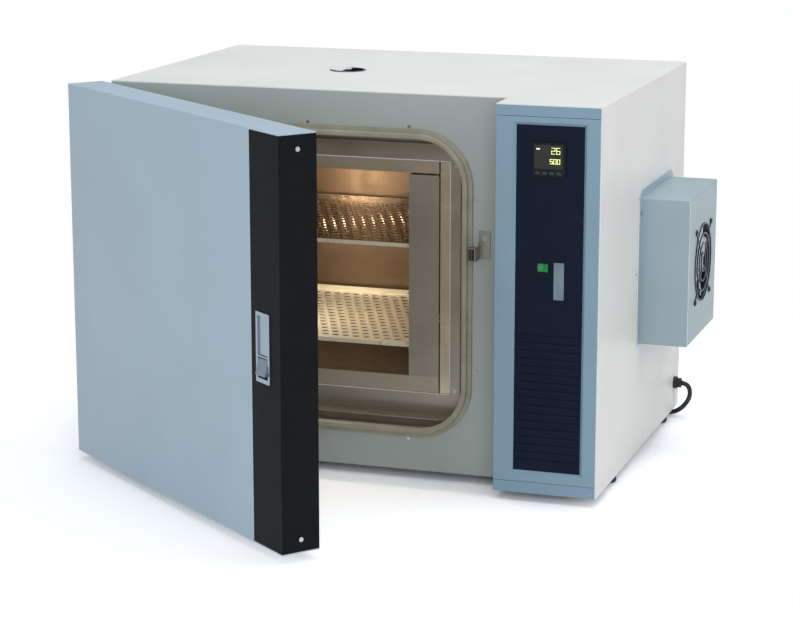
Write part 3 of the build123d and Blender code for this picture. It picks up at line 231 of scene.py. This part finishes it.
# Looks by name, with sRGB colours from 0 to 255
M = {
    "casing": paint("casing_paint", (238, 237, 234), 0.34, 0.46),
    "panel": paint("panel_paint", (172, 180, 176), 0.30, 0.42),
    "column": paint("column_paint", (134, 164, 182), 0.34, 0.46),
    "door": paint("door_paint", (176, 195, 208), 0.36, 0.46),
    "boxes": paint("motor_box_paint", (166, 185, 194), 0.34, 0.46),
    "trim": moulded("trim_black", (14, 16, 20), (0.50, 0.62), 520, 0.06, 0.0, 0.12),
    "galvanised": brushed("galvanised_sheet", (150, 152, 153), EVEN, (0.4, 0.6)),
    "rubber": moulded("foot_rubber", (28, 28, 29), (0.6, 0.75)),
    "fascia": moulded("fascia_film", (17, 25, 46), (0.48, 0.60), 700, 0.05, 0.0, 0.12),
    "strip": moulded("strip_plastic", (116, 136, 146), (0.4, 0.5)),
    "controller": moulded("controller_plastic", (16, 22, 28), (0.45, 0.6), 900, 0.12, 0.0, 0.2),
    "window": moulded("display_window", (8, 10, 11), (0.08, 0.14), 200, 0.02),
    "key": moulded("key_plastic", (38, 46, 54), (0.4, 0.5)),
    "rocker": moulded("rocker_green", (40, 150, 80), (0.2, 0.3), 300, 0.03),
    "chassis": brushed("chassis_sheet", (140, 140, 140), EVEN, (0.35, 0.5)),
    "throat": brushed("throat_steel", (176, 168, 154), EVEN, (0.28, 0.38), 0.05, 0.1, 0.8),
    "seal": moulded("seal_silicone", (160, 155, 137), (0.42, 0.55), 500, 0.06),
    "screw": brushed("screw_steel", (190, 190, 190), EVEN, (0.2, 0.3)),
    # The liner's warm cream tone is a painted reflection of the chamber's warm glow
    "liner": brushed("liner_steel", (222, 208, 182), EVEN, (0.20, 0.28), 0.04, 0.1, 0.8),
    "chamber": brushed("chamber_steel", (168, 160, 146), EVEN, (0.30, 0.42), 0.05, 0.1, 0.6),
    # Painted shade and warm light: the chamber's steel turns brown towards the inside
    "inside": shaded_chamber_sheet("chamber_painted_shade", (190, 176, 158), (112, 92, 70)),
    "runner": brushed("runner_steel", (180, 180, 176), EVEN, (0.3, 0.4)),
    # Lit and shaded copies of the shelf steel: the bright cream lower shelf is a painted
    # highlight, the brown upper one is painted shade
    "shelf": brushed("shelf_steel", (240, 230, 206), EVEN, (0.26, 0.36), 0.03, 0.03, 0.3),
    "shaded_shelf": brushed("shelf_steel_painted_shade", (120, 104, 88), EVEN, (0.2, 0.3), 0.05, 0.03),
    "wool": moulded("mineral_wool", (150, 140, 100), (0.9, 1.0), 120, 0.6),
    # The blue tint on the chimney's aluminium is a painted reflection of the dark surroundings
    "vent": brushed("vent_aluminium", (120, 132, 156), EVEN, (0.25, 0.35)),
    # Plain white standing in for painted light: the damper disc's reflection of the white
    # studio, and the painted highlight strips
    "disc": paint("vent_disc_paint", (235, 236, 236)),
    "motor": moulded("motor_casting", (70, 74, 80), (0.4, 0.5), 300, 0.2, 0.4),
    "shaft": brushed("shaft_steel", (190, 190, 190), (60, 1, 1), (0.2, 0.3)),
    "impeller": brushed("impeller_steel", (160, 160, 158), EVEN, (0.3, 0.45)),
    "element": brushed("element_sheath", (70, 62, 56), EVEN, (0.4, 0.6)),
    "probe": brushed("probe_steel", (200, 200, 196), (60, 1, 1), (0.2, 0.3)),
    # Painted light on the cooling fan: the dark navy frame and guard stand in for the shade
    # between the blades, the near-white rotor for the blades' reflections
    "fan_frame": moulded("fan_frame_painted_shade", (18, 26, 48), (0.4, 0.5), 400, 0.10, 0.2),
    "fan_rotor": brushed("fan_rotor_painted_reflection", (232, 238, 246), EVEN, (0.16, 0.26), 0.05, 0.05,
                         0.1),
    "guard": brushed("guard_wire_painted_shade", (40, 50, 72), EVEN, (0.24, 0.34), 0.03, 0.02, 0.4),
    "keeper": brushed("keeper_steel", (150, 148, 138), EVEN, (0.3, 0.45)),
    "roller": moulded("roller_plastic", (46, 38, 38), (0.35, 0.5)),
    "hinge": brushed("hinge_steel", (176, 178, 180), (1, 1, 60), (0.28, 0.4)),
    "handle": brushed("handle_satin", (160, 176, 190), (1, 1, 60), (0.3, 0.42), 0.06),
    "latch": brushed("latch_steel", (170, 168, 160), EVEN, (0.3, 0.4)),
    "gland": moulded("gland_plastic", (22, 22, 24), (0.4, 0.5)),
    "cord": moulded("cord_pvc", (20, 21, 24), (0.35, 0.45), 800, 0.08),
    "plug": moulded("plug_plastic", (20, 20, 22), (0.4, 0.5)),
    "digits": glowing("display_digits", (232, 240, 168), 0.9),
    "mark": glowing("display_mark", (245, 245, 235), 0.9),
}

# The nodes that wear each look
LOOKS = {
    "casing": ["casing_wrap", "back_panel"],
    "galvanised": ["base_pan"],
    "rubber": ["feet"],
    "panel": ["front_panel", "column_wall"],
    "column": ["column_rails", "column_front_frame"],
    "fascia": ["control_fascia"],
    "strip": ["blanking_plate"],
    "controller": ["controller_case", "switch_housing"],
    "window": ["controller_window"],
    "key": ["key_page", "key_scroll", "key_down", "key_up"],
    "rocker": ["power_rocker"],
    "chassis": ["control_chassis"],
    "throat": ["throat_frame"],
    "seal": ["door_seal"],
    "screw": ["front_screws", "trim_screws", "casing_screws"],
    "liner": ["chamber_liner"],
    "chamber": ["duct_cover", "door_inner_panel"],
    "inside": ["working_chamber"],
    "runner": ["runners_left", "runners_right"],
    "shelf": ["shelf_lower", "shelf_upper"],
    "wool": ["chamber_insulation", "door_core"],
    "vent": ["vent_chimney"],
    "disc": ["vent_damper"],
    "motor": ["circulation_motor"],
    "shaft": ["circulation_shaft"],
    "impeller": ["circulation_impeller"],
    "element": ["heating_element"],
    "probe": ["temperature_probe"],
    "boxes": ["motor_box"],
    "fan_frame": ["cooling_fan_frame"],
    "fan_rotor": ["cooling_fan_rotor"],
    "guard": ["fan_guard"],
    "keeper": ["keeper_bracket"],
    "roller": ["keeper_roller"],
    "hinge": ["hinge_cabinet_leaves", "hinge_door_leaves"],
    "door": ["door_skin"],
    "trim": ["door_trim"],
    "handle": ["handle_escutcheon", "latch_paddle"],
    "latch": ["latch_bolt", "latch_bracket"],
    "gland": ["cable_gland"],
    "cord": ["mains_cord", "cord_coil"],
    "plug": ["mains_plug"],
}
for look, names in LOOKS.items():
    for name in names:
        data = nodes[name].data
        data.materials.clear()
        data.materials.append(M[look])


def add_mesh(name, bm, material, body, smooth=False):
    """Closes a bmesh into an object that rides on a body."""
    data = bpy.data.meshes.new(name)
    bmesh.ops.recalc_face_normals(bm, faces=bm.faces)
    bm.to_mesh(data)
    bm.free()
    data.materials.append(material)
    obj = bpy.data.objects.new(name, data)
    scene.collection.objects.link(obj)
    if smooth:
        for polygon in data.polygons:
            polygon.use_smooth = True
    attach(obj, body)
    return obj


def add_box(bm, lo, hi):
    """An axis-aligned box in a bmesh, from two corners."""
    for v in bmesh.ops.create_cube(bm, size=1)["verts"]:
        v.co = Vector([lo[i] if v.co[i] < 0 else hi[i] for i in range(3)])


def soften(bm, width):
    """Breaks all edges of a bmesh."""
    bmesh.ops.bevel(bm, geom=list(bm.edges), offset=width, segments=1, affect="EDGES")


# Shelves: perforated sheet in place of the coarse CAD sheets, its front edge turned down and
# its back edge turned up
SHELF_X = (-0.238, 0.064)
SHELF_Y = (-0.151, 0.163)
SHELF_TOPS = {"lower_shelf": 0.184, "upper_shelf": 0.332}
SHELF_SHEET = 0.0012
SHELF_BORDER = 0.010
FRONT_LIP = 0.006
BACK_LIP = 0.008
HOLE_ROWS = 15
HOLE_COLUMNS = 17
HOLE_SIDES = 10
HOLE_WIDE = 0.0056
HOLE_DEEP = 0.0058


def perforated_shelf(name, top):
    """A sheet whose cells each hold one rounded hole, every second row set half a pitch over."""
    left, right = SHELF_X
    front, back = SHELF_Y
    low = top - SHELF_SHEET
    x0, x1 = left + SHELF_BORDER, right - SHELF_BORDER
    y0, y1 = front + SHELF_BORDER, back - SHELF_BORDER
    step_x = (x1 - x0) / (HOLE_COLUMNS + 0.5)
    step_y = (y1 - y0) / HOLE_ROWS
    bm = bmesh.new()
    for row in range(HOLE_ROWS):
        low_y = y0 + row * step_y
        shift = step_x / 2 if row % 2 else 0.0
        for column in range(HOLE_COLUMNS):
            low_x = x0 + shift + column * step_x
            middle = Vector((low_x + step_x / 2, low_y + step_y / 2, 0))
            outer = []
            inner = []
            for n in range(HOLE_SIDES):
                angle = 2 * math.pi * (n + 0.5) / HOLE_SIDES
                direction = Vector((math.cos(angle), math.sin(angle), 0))
                reach = min(step_x / 2 / max(abs(direction.x), 1e-6),
                            step_y / 2 / max(abs(direction.y), 1e-6))
                outer.append(middle + direction * reach)
                inner.append(middle + Vector((direction.x * HOLE_WIDE,
                                              direction.y * HOLE_DEEP, 0)))
            for level in (top, low):
                rim = [bm.verts.new((v.x, v.y, level)) for v in outer]
                hole = [bm.verts.new((v.x, v.y, level)) for v in inner]
                for n in range(HOLE_SIDES):
                    m = (n + 1) % HOLE_SIDES
                    bm.faces.new((rim[n], rim[m], hole[m], hole[n]))
                if level == top:
                    upper = hole
            for n in range(HOLE_SIDES):
                m = (n + 1) % HOLE_SIDES
                bm.faces.new((upper[n], upper[m], hole[m], hole[n]))
        if row % 2:
            add_box(bm, (x0, low_y, low), (x0 + shift, low_y + step_y, top))
        else:
            add_box(bm, (x1 - step_x / 2, low_y, low), (x1, low_y + step_y, top))
    add_box(bm, (left, front, low), (x0, back, top))
    add_box(bm, (x1, front, low), (right, back, top))
    add_box(bm, (x0, front, low), (x1, y0, top))
    add_box(bm, (x0, y1, low), (x1, back, top))
    add_box(bm, (left, front, top - FRONT_LIP), (right, front + SHELF_SHEET, low))
    add_box(bm, (left, back - SHELF_SHEET, top), (right, back, top + BACK_LIP))
    # The lower shelf wears the painted light look, the upper one the painted shade look
    look = M["shelf"] if name == "lower_shelf" else M["shaded_shelf"]
    return add_mesh(name + "_sheet", bm, look, name)


for name, top in SHELF_TOPS.items():
    sheet = perforated_shelf(name, top)
    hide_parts("shelf_" + name.split("_")[0])

# Painted highlight: a thin strip in the lit shelf look along the upper shelf's front edge,
# brighter than its shaded sheet
SHELF_HIGHLIGHT = (-0.0004, -0.0001)
SHELF_HIGHLIGHT_Z = (0.3262, 0.3322)
bm = bmesh.new()
add_box(bm, (SHELF_X[0], SHELF_Y[0] + SHELF_HIGHLIGHT[0], SHELF_HIGHLIGHT_Z[0]),
        (SHELF_X[1], SHELF_Y[0] + SHELF_HIGHLIGHT[1], SHELF_HIGHLIGHT_Z[1]))
soften(bm, 0.0001)
add_mesh("upper_shelf_lip_highlight", bm, M["shelf"], "upper_shelf")

# Display digits made of seven bars each, given by their ends on a unit cell
BARS = {
    "a": (0, 1, 1, 1), "b": (1, 0.5, 1, 1), "c": (1, 0, 1, 0.5), "d": (0, 0, 1, 0),
    "e": (0, 0, 0, 0.5), "f": (0, 0.5, 0, 1), "g": (0, 0.5, 1, 0.5),
}
DIGITS = {"0": "abcdef", "2": "abged", "5": "afgcd", "6": "afgedc"}
DISPLAY_FRONT = -0.2738
MARK_THICKNESS = 0.0002
DIGIT_BAR = 0.0004
DIGITS_RIGHT = 0.3165
ROWS = (
    ("display_value", "26", 0.4935, 0.0046, 0.0082),
    ("display_setting", "500", 0.4800, 0.0034, 0.0060),
)
BAR_X = (0.2835, 0.2885)
BAR_Z = (0.4990, 0.5006)


def digits(name, text, low, width, height):
    """A row of digits that ends at the right edge of the display's field."""
    bm = bmesh.new()
    pitch = width * 1.5
    back = DISPLAY_FRONT + MARK_THICKNESS
    for place, sign in enumerate(reversed(text)):
        left = DIGITS_RIGHT - width - place * pitch
        for bar in DIGITS[sign]:
            xa, za, xb, zb = BARS[bar]
            add_box(bm, (left + xa * width - DIGIT_BAR, DISPLAY_FRONT,
                         low + za * height - DIGIT_BAR),
                    (left + xb * width + DIGIT_BAR, back, low + zb * height + DIGIT_BAR))
    return add_mesh(name, bm, M["digits"], "cabinet")


for row in ROWS:
    digits(*row)

# The mark in the display's upper left corner
bm = bmesh.new()
add_box(bm, (BAR_X[0], DISPLAY_FRONT, BAR_Z[0]),
        (BAR_X[1], DISPLAY_FRONT + MARK_THICKNESS, BAR_Z[1]))
add_mesh("display_bar", bm, M["mark"], "cabinet")

# Painted highlights: thin white strips along the motor box's front corner and its left flange
EDGES = {
    "motor_box_corner_line": ((0.4472, -0.0262, 0.1790), (0.4482, -0.0255, 0.3950)),
    "motor_box_flange_line": ((0.3752, -0.0425, 0.1790), (0.3768, -0.0420, 0.3950)),
}
for name, (low, high) in EDGES.items():
    bm = bmesh.new()
    add_box(bm, low, high)
    soften(bm, 0.0002)
    add_mesh(name, bm, M["disc"], "cabinet")

# Painted highlight: a thin white strip round the chamber's mouth, on its top, bottom and right
# edges
MOUTH_X = (-0.2765, 0.1288)
MOUTH_Y = (-0.1648, -0.1643)
MOUTH_Z = (0.1146, 0.4574)
MOUTH_HIGHLIGHT = 0.0012
bm = bmesh.new()
for z in MOUTH_Z:
    add_box(bm, (MOUTH_X[0], MOUTH_Y[0], z - MOUTH_HIGHLIGHT / 2),
            (MOUTH_X[1], MOUTH_Y[1], z + MOUTH_HIGHLIGHT / 2))
add_box(bm, (MOUTH_X[1] - MOUTH_HIGHLIGHT, MOUTH_Y[0], MOUTH_Z[0]),
        (MOUTH_X[1], MOUTH_Y[1], MOUTH_Z[1]))
add_mesh("mouth_edge_highlight", bm, M["disc"], "cabinet")

# Tapered strain relief of the plug: places along X with a radius each
PLUG_Y = 0.3967
PLUG_Z = 0.010
RELIEF = (
    (0.2435, 0.0041), (0.248, 0.0044), (0.253, 0.0049), (0.258, 0.0055), (0.2655, 0.0062),
)
RELIEF_SIDES = 20
bm = bmesh.new()
rings = []
for x, radius in RELIEF:
    ring = []
    for n in range(RELIEF_SIDES):
        angle = 2 * math.pi * n / RELIEF_SIDES
        ring.append(bm.verts.new((x, PLUG_Y + radius * math.cos(angle),
                                  PLUG_Z + radius * math.sin(angle))))
    rings.append(ring)
for before, after in zip(rings, rings[1:]):
    for n in range(RELIEF_SIDES):
        m = (n + 1) % RELIEF_SIDES
        bm.faces.new((before[n], before[m], after[m], after[n]))
bm.faces.new(rings[0])
bm.faces.new(rings[-1])
relief = add_mesh("plug_relief", bm, M["plug"], "cabinet", smooth=True)

# Mains cord: the route's points in metres, then the coil's turns, then the lead to the plug
CORD_RADIUS = 0.0037
ROUTE = [
    (0.387, 0.242, 0.055),
    (0.3955, 0.242, 0.054),
    (0.401, 0.242, 0.0455),
    (0.401, 0.242, 0.033),
    (0.395, 0.242, 0.0215),
    (0.3855, 0.242, 0.0115),
    (0.3725, 0.2435, 0.005),
    (0.355, 0.248, 0.0038),
    (0.334, 0.257, 0.0038),
    (0.312, 0.271, 0.0038),
    (0.291, 0.288, 0.0038),
    (0.273, 0.301, 0.0038),
    (0.257, 0.3073, 0.0038),
    (0.241, 0.3073, 0.0038),
]
COIL = (0.215, 0.352)
COIL_RADIUS = 0.041
COIL_PITCH = 2 * CORD_RADIUS
COIL_LOW = 0.0038
COIL_STEP = 20

# Turns of the coil, each on the outer or the inner side of its layer, in the order that the
# cord takes; it changes place over the last degrees of each turn
SLOTS = [(side, z) for z, pair in enumerate(((1, -1), (-1, 1), (-1, 1))) for side in pair]
SLOT_TURN = 330
SHIFT = 40
TOTAL_TURN = 1980

# The line runs a little inside its points, so these stand further out
OUTWARD = 1 / (0.75 + 0.25 * math.cos(math.radians(COIL_STEP)))


def coil_place(turned):
    """Radius and height of the coil's line after so many degrees."""
    index = min(int(turned // SLOT_TURN), len(SLOTS) - 1)
    here = SLOTS[index]
    after = SLOTS[min(index + 1, len(SLOTS) - 1)]
    share = max(0.0, (turned - index * SLOT_TURN - (SLOT_TURN - SHIFT)) / SHIFT)
    share = min(1.0, share)
    side = here[0] + (after[0] - here[0]) * share
    level = here[1] + (after[1] - here[1]) * share
    return COIL_RADIUS + side * COIL_PITCH / 2, COIL_LOW + level * COIL_PITCH


for turned in range(0, TOTAL_TURN + COIL_STEP, COIL_STEP):
    radius, height = coil_place(turned)
    radius *= OUTWARD
    angle = math.radians(-90 - turned)
    ROUTE.append((COIL[0] + radius * math.cos(angle), COIL[1] + radius * math.sin(angle),
                  height))
ROUTE += [
    (0.226, PLUG_Y, 0.0186),
    (0.236, PLUG_Y, 0.0160),
    (0.243, PLUG_Y, 0.0104),
    (0.249, PLUG_Y, PLUG_Z),
]
cord_data = bpy.data.curves.new("mains_cord_line", "CURVE")
cord_data.dimensions = "3D"
spline = cord_data.splines.new("NURBS")
spline.points.add(len(ROUTE) - 1)
for point, place in zip(spline.points, ROUTE):
    point.co = (*place, 1)
spline.order_u = 3
spline.use_endpoint_u = True
spline.resolution_u = 6
cord_data.bevel_depth = CORD_RADIUS
cord_data.bevel_resolution = 4
cord_data.use_fill_caps = True
cord_data.materials.append(M["cord"])
cord = bpy.data.objects.new("mains_cord_line", cord_data)
scene.collection.objects.link(cord)
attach(cord, "cabinet")
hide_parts("mains_cord", "cord_coil")

# Floor: white paper that keeps the object's shadow and fades to plain white away from it
FLOOR_SIZE = 12
FLOOR_DROP = 0.0005
FADE_START = 0.40
FADE_END = 0.80
bm = bmesh.new()
bmesh.ops.create_grid(bm, x_segments=1, y_segments=1, size=FLOOR_SIZE)
floor_mesh = bpy.data.meshes.new("floor")
bm.to_mesh(floor_mesh)
bm.free()
floor = bpy.data.objects.new("floor", floor_mesh)
scene.collection.objects.link(floor)
floor.location = (0, 0, -FLOOR_DROP)
paper = Nodes("floor_paper")
seen = paper.seen()
mix = paper.new("ShaderNodeMix", data_type="RGBA")
mix.inputs[6].default_value = (0.70, 0.70, 0.70, 1)
mix.inputs[7].default_value = (1.42, 1.43, 1.46, 1)
paper.link(seen, mix.inputs[0])
diffuse = paper.new("ShaderNodeBsdfDiffuse")
paper.link(mix.outputs[2], diffuse.inputs["Color"])
glow = paper.new("ShaderNodeEmission")
glow.inputs["Strength"].default_value = 1.0
distance = paper.new("ShaderNodeVectorMath", operation="LENGTH")
paper.link(paper.coords, distance.inputs[0])
fade = paper.spread(distance.outputs["Value"], FADE_START, FADE_END)
shader_mix = paper.new("ShaderNodeMixShader")
paper.link(paper.math("MULTIPLY", fade, seen), shader_mix.inputs[0])
paper.link(diffuse.outputs[0], shader_mix.inputs[1])
paper.link(glow.outputs[0], shader_mix.inputs[2])
paper.link(shader_mix.outputs[0], paper.tree.nodes["Material Output"].inputs["Surface"])
floor_mesh.materials.append(paper.material)

# World: a faint blue-white sky for light, plain white where the camera looks past the floor
world = bpy.data.worlds.new("studio")
scene.world = world
world.use_nodes = True
tree = world.node_tree
background = tree.nodes["Background"]
background.inputs["Color"].default_value = (0.88, 0.94, 1.0, 1)
background.inputs["Strength"].default_value = 0.34
white = tree.nodes.new("ShaderNodeBackground")
white.inputs["Color"].default_value = (1, 1, 1, 1)
white.inputs["Strength"].default_value = 1.0
world_path = tree.nodes.new("ShaderNodeLightPath")
world_mix = tree.nodes.new("ShaderNodeMixShader")
tree.links.new(world_path.outputs["Is Camera Ray"], world_mix.inputs[0])
tree.links.new(background.outputs[0], world_mix.inputs[1])
tree.links.new(white.outputs[0], world_mix.inputs[2])
tree.links.new(world_mix.outputs[0], tree.nodes["World Output"].inputs["Surface"])


# Lamps: place, target, size, power and colour
LAMPS = {
    "top_light": ((0.4, 0.3, 3.0), (0, 0, 0.3), (3.0, 3.0), 58, (1, 1, 1)),
    "right_light": ((3.2, -0.4, 1.6), (0.3, 0, 0.3), (2.2, 2.2), 18, (1.0, 0.98, 0.97)),
    "front_light": ((-1.4, -3.4, 1.6), (0, -0.2, 0.3), (2.4, 2.0), 31, (0.90, 0.95, 1.0)),
    "mouth_light": ((1.5, -3.2, 1.3), (0, -0.1, 0.3), (1.4, 1.4), 24, (0.98, 0.98, 1.0)),
    "chamber_light": ((-0.20, -0.06, 0.425), (0.02, 0.14, 0.30), (0.06, 0.12), 0.30,
                      (1.0, 0.76, 0.50)),
    "shelf_light": ((-0.21, -0.10, 0.315), (-0.02, 0.04, 0.184), (0.05, 0.10), 0.80,
                    (1.0, 0.88, 0.70)),
}
for name, (place, target, size, power, colour) in LAMPS.items():
    data = bpy.data.lights.new(name, "AREA")
    data.shape = "RECTANGLE"
    data.size, data.size_y = size
    data.energy = power
    data.color = colour
    lamp = bpy.data.objects.new(name, data)
    scene.collection.objects.link(lamp)
    lamp.location = place
    aim = Vector(target) - Vector(place)
    lamp.rotation_euler = aim.to_track_quat("-Z", "Y").to_euler()
